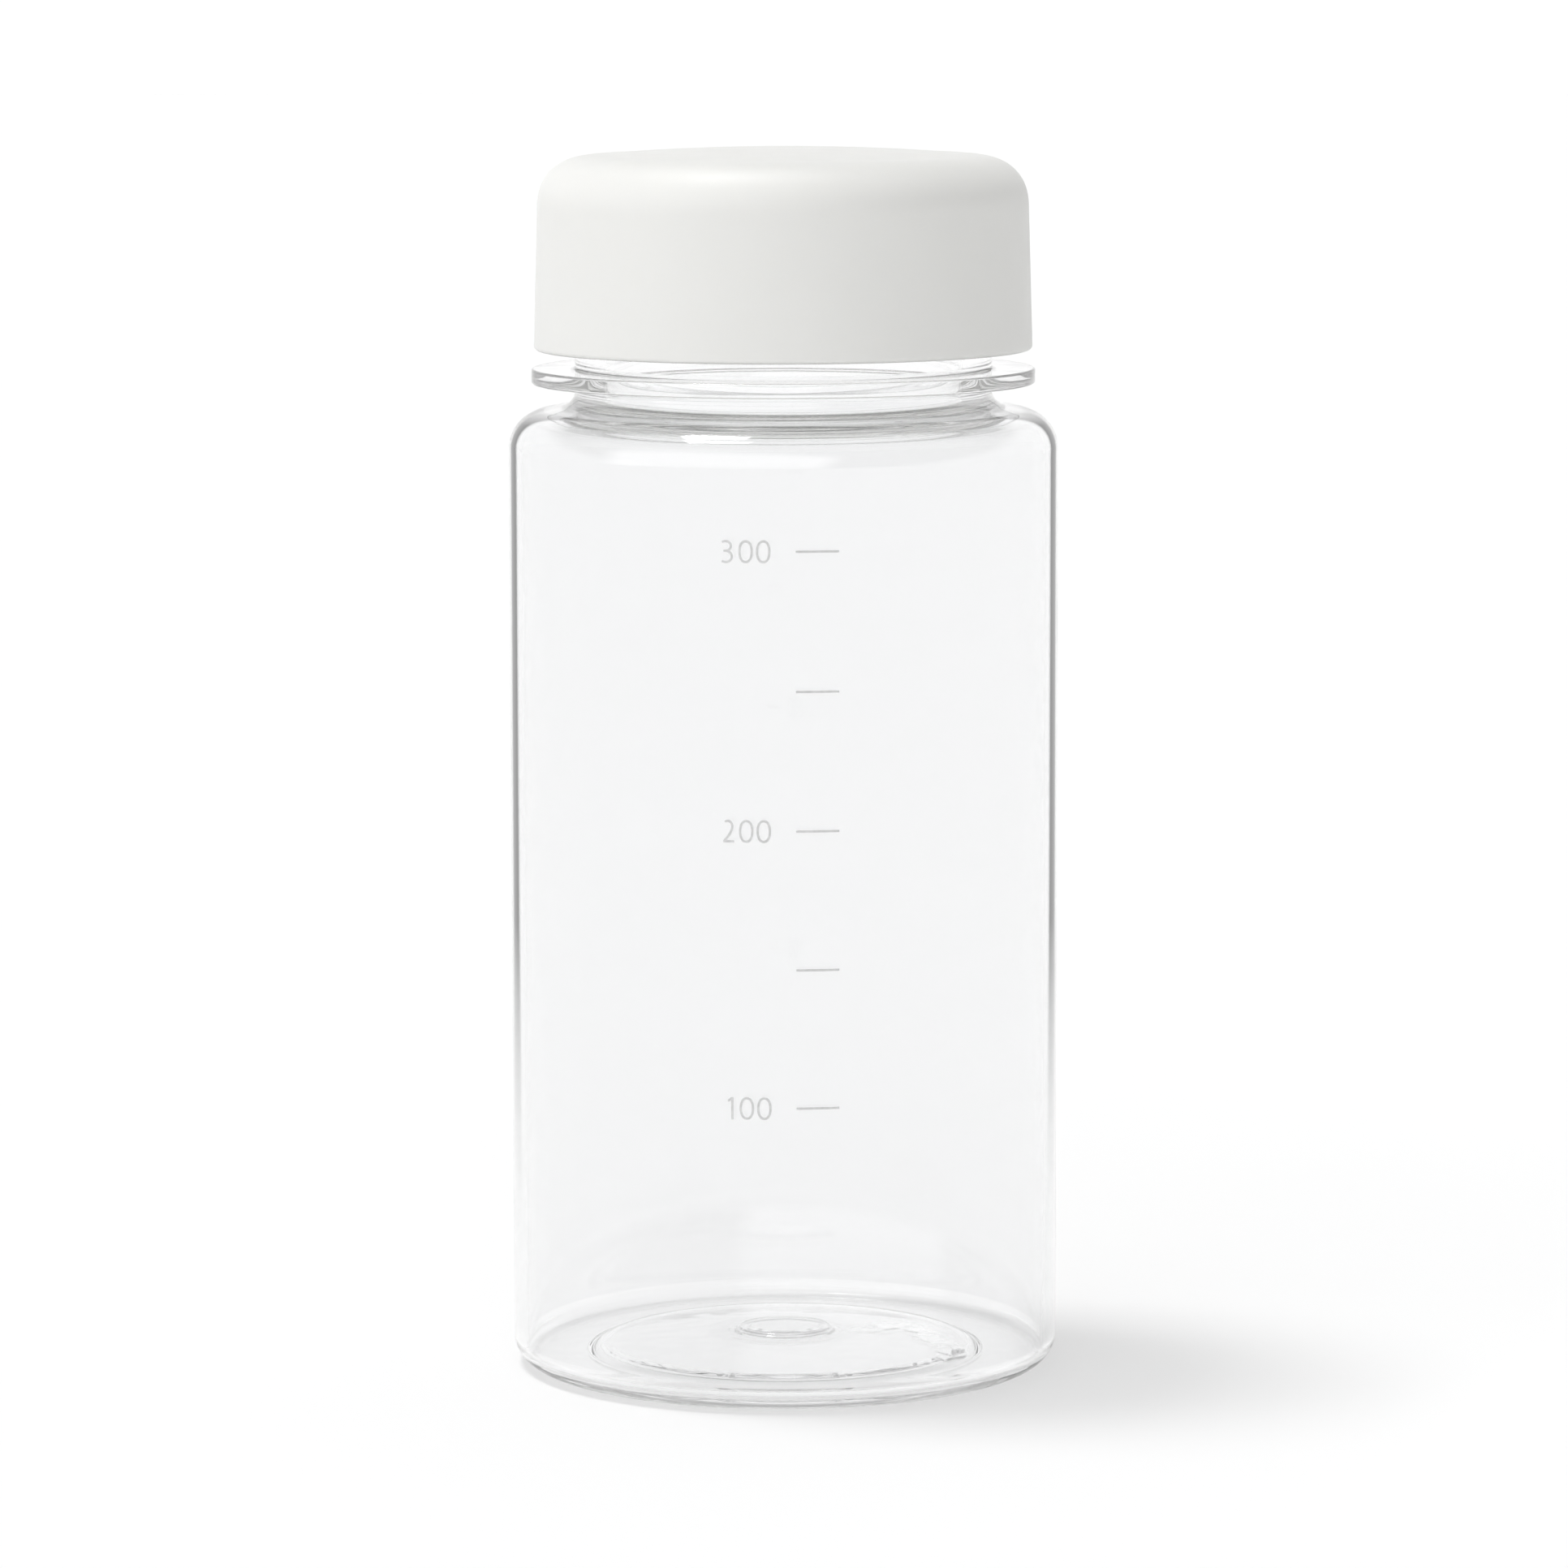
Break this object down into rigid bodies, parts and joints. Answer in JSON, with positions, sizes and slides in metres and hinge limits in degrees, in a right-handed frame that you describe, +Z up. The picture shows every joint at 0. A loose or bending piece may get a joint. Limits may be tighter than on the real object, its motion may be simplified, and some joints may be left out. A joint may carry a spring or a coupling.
{
  "type": "screw-cap measuring bottle",
  "caption": "Clear wide round bottle with a rounded shoulder, support ring and printed volume scale, closed by a smooth white screw cap with a threaded insert and sealing ring.",
  "frame": {"origin": "centre of the base, on the plane the bottle stands on", "axes": "+Z up the bottle's axis to the cap, -Y towards the printed scale's side, +X to the right of the scale as it is read"},
  "size_m": [0.066, 0.066, 0.1472],
  "materials": {
    "clear_plastic": "transparent gloss",
    "white_cap_plastic": "satin",
    "white_insert_plastic": "satin",
    "clear_silicone": "translucent satin"
  },
  "bodies": {
    "bottle": {"bottle_body": "clear_plastic"},
    "gasket": {"seal_ring": "clear_silicone"},
    "cap": {"cap_shell": "white_cap_plastic", "cap_insert": "white_insert_plastic"}
  },
  "joints": [
    {"name": "cap_lift", "type": "slide", "parent": "bottle", "child": "gasket", "axis": [0, 0, 1], "range_m": [0, 0.019]},
    {"name": "cap_turn", "type": "hinge", "parent": "gasket", "child": "cap", "pos_m": [0, 0, 0.132], "axis": [0, 0, 1], "range_deg": [0, 570]}
  ],
  "couplings": [
    {"joint": "cap_lift", "follows": "cap_turn", "m_per_rad": 0.0019099}
  ]
}
